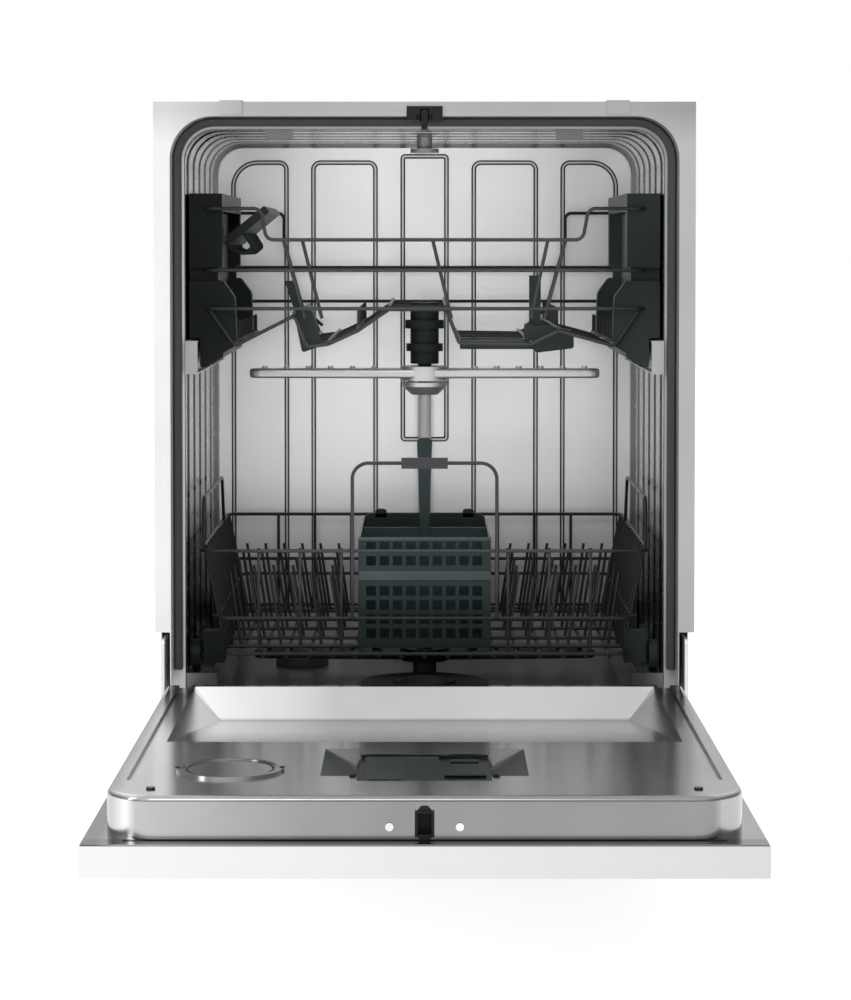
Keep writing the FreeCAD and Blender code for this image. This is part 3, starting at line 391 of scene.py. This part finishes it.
def piece(name, body, finish, prisms):
    """One object made of prisms, each (outline of (x, z), y from, y to) in metres."""
    shape = bmesh.new()
    for outline, near, far in prisms:
        front = [shape.verts.new((x, near, z)) for x, z in outline]
        back = [shape.verts.new((x, far, z)) for x, z in outline]
        shape.faces.new(front)
        shape.faces.new(back[::-1])
        for i in range(len(front)):
            j = (i + 1) % len(front)
            shape.faces.new((front[j], front[i], back[i], back[j]))
    bmesh.ops.recalc_face_normals(shape, faces=shape.faces)
    mesh = bpy.data.meshes.new(name)
    shape.to_mesh(mesh)
    shape.free()
    made = bpy.data.objects.new(name, mesh)
    bpy.context.scene.collection.objects.link(made)
    mesh.materials.append(finish)
    soft = made.modifiers.new("edges", "BEVEL")
    soft.width = EDGE
    soft.segments = 2
    soft.limit_method = "ANGLE"
    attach(made, body)


def rounded(x0, x1, z0, z1, foot, head, steps=8):
    """Corners of a rectangle, rounded by foot below and head above."""
    points = []
    for x, z, radius, start in ((x1, z0, foot, 270), (x1, z1, head, 0), (x0, z1, head, 90),
                                (x0, z0, foot, 180)):
        cx = x - radius if x == x1 else x + radius
        cz = z - radius if z == z1 else z + radius
        for k in range(steps + 1):
            turn = math.radians(start + 90 * k / steps)
            points.append((cx + radius * math.cos(turn), cz + radius * math.sin(turn)))
    return points


basket_low, basket_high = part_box("cutlery_basket")
basket_front = basket_low.y
basket_back = basket_high.y
basket_half = basket_high.x
basket_rim = 0.332
CREST_DROP = 0.026
CREST_RISE = 0.006
CREST_CORNER = 0.012
CREST_SKIN = 0.0015
HOOK_INSET = 0.022
HOOK_HALF = 0.007
HOOK_RISE = 0.011
HOOK_CORNER = 0.004
HOOK_SKIN = 0.0025
FOOT_CORNER = 0.001
crest = [(rounded(-basket_half, basket_half, basket_rim - CREST_DROP, basket_rim + CREST_RISE,
                  FOOT_CORNER, CREST_CORNER),
          basket_back - CREST_SKIN, basket_back + CREST_SKIN)]
for side in (-1, 1):
    x = side * (basket_half - HOOK_INSET)
    crest.append((rounded(x - HOOK_HALF, x + HOOK_HALF, basket_rim, basket_rim + HOOK_RISE,
                          FOOT_CORNER, HOOK_CORNER),
                  basket_back - CREST_SKIN, basket_back + HOOK_SKIN))
piece("basket_crest", "basket", green_grey, crest)

# Basket bands: two raised ribs round the front of the cutlery basket that stiffen its thin wall,
# coloured paler than the moulding behind them as a painted highlight.
band_highlight = surface("band_highlight", (0.013, 0.020, 0.020), metallic=0.0, roughness=0.28, grain=700,
                 depth=0.00006, shade=0.3, sheen=0.3)
BAND_FACE = 0.0013
BAND_GAP = 0.0001
MIDDLE_BAND = (0.2835, 0.2940, 0.002)
RIM_BAND = (0.3285, 0.3325, 0.001)
bands = []
for foot, top, corner in (MIDDLE_BAND, RIM_BAND):
    bands.append((rounded(-basket_half, basket_half, foot, top, corner, corner),
                  basket_front - BAND_FACE, basket_front - BAND_GAP))
piece("basket_bands", "basket", band_highlight, bands)

# Damping mat: a sheet of black bitumen felt stuck on the back of the tub inside the rear frame,
# which stops it drumming. Matt, with a coarse nap.
felt = surface("felt", (0.035, 0.034, 0.033), metallic=0.0, roughness=0.85, grain=260, depth=0.0004,
               shade=0.25, sheen=0.1)
MAT_HALF = 0.225
MAT_FOOT = 0.22
MAT_TOP = 0.72
MAT_CORNER = 0.02
MAT_GLUE = 0.0002
MAT_FACE = 0.0035
tub_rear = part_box("tub_back_wall")[1].y
piece("damping_mat", "cabinet", felt, [
    (rounded(-MAT_HALF, MAT_HALF, MAT_FOOT, MAT_TOP, MAT_CORNER, MAT_CORNER),
     tub_rear + MAT_GLUE, tub_rear + MAT_FACE)])

# Liner seam: a thin bead of black sealant run along the door's front, where the liner's skirt meets
# the door's rim, to keep water out of the door.
black_seam = surface("black_seam", (0.01, 0.01, 0.01), metallic=0.0, roughness=0.6, grain=500,
                     depth=0.00005, sheen=0.1)
SKIRT_FACE = MOUTH_Y - 0.675
FACE_GAP = 0.0002
SEAM_HALF = 0.262
SEAM_FOOT = 0.1462
SEAM_TOP = 0.1468
SEAM_CORNER = 0.0002
SEAM_FACE = 0.0014
piece("liner_seam", "door", black_seam, [
    (rounded(-SEAM_HALF, SEAM_HALF, SEAM_FOOT, SEAM_TOP, SEAM_CORNER, SEAM_CORNER),
     SKIRT_FACE - SEAM_FACE, SKIRT_FACE - FACE_GAP)])

# Keeper's rim: the black nylon keeper is set in the door's front wall, and its rim tapers above
# and below the slot that takes the latch's hook.
RIM_HALF = 0.0062
TIP_HALF = 0.003
RIM_FACE = 0.0016
UPPER_TAPER = (0.1722, 0.1762)
LOWER_TAPER = (0.1488, 0.1460)
keeper = []
for base, tip in (UPPER_TAPER, LOWER_TAPER):
    keeper.append(([(-RIM_HALF, base), (RIM_HALF, base), (TIP_HALF, tip), (-TIP_HALF, tip)],
                   SKIRT_FACE - RIM_FACE, SKIRT_FACE - FACE_GAP))
piece("keeper_rim", "door", nylon, keeper)

# Dispenser clips: a black nylon catch at either end of the dispenser, standing in the liner's
# hollows, that holds it in its opening.
CLIP_REACH = 0.0645
CLIP_HALF = 0.0032
CLIP_FOOT = 0.1785
CLIP_TOP = 0.1865
CLIP_FOOT_CORNER = 0.0005
CLIP_TOP_CORNER = 0.001
CLIP_FRONT = MOUTH_Y - 0.586
CLIP_REAR = MOUTH_Y - 0.566
clips = []
for side in (-1, 1):
    x = side * CLIP_REACH
    clips.append((rounded(x - CLIP_HALF, x + CLIP_HALF, CLIP_FOOT, CLIP_TOP,
                          CLIP_FOOT_CORNER, CLIP_TOP_CORNER),
                  CLIP_FRONT, CLIP_REAR))
piece("dispenser_clips", "door", nylon, clips)

# Vent dots: two drain holes in the ring of the door vent, left and right, shown by small dark
# blocks laid on it, which are painted shade for the dark inside of the holes.
VENT_ACROSS = -0.177
DOT_REACH = 0.0475
DOT_HALF = 0.0025
DOT_FOOT = 0.1868
DOT_TOP = 0.1876
DOT_CORNER = 0.0003
DOT_FRONT = MOUTH_Y - 0.556
DOT_REAR = MOUTH_Y - 0.550
hole_shades = []
for side in (-1, 1):
    x = VENT_ACROSS + side * DOT_REACH
    hole_shades.append((rounded(x - DOT_HALF, x + DOT_HALF, DOT_FOOT, DOT_TOP, DOT_CORNER, DOT_CORNER),
                 DOT_FRONT, DOT_REAR))
piece("vent_hole_shades", "door", nylon, hole_shades)
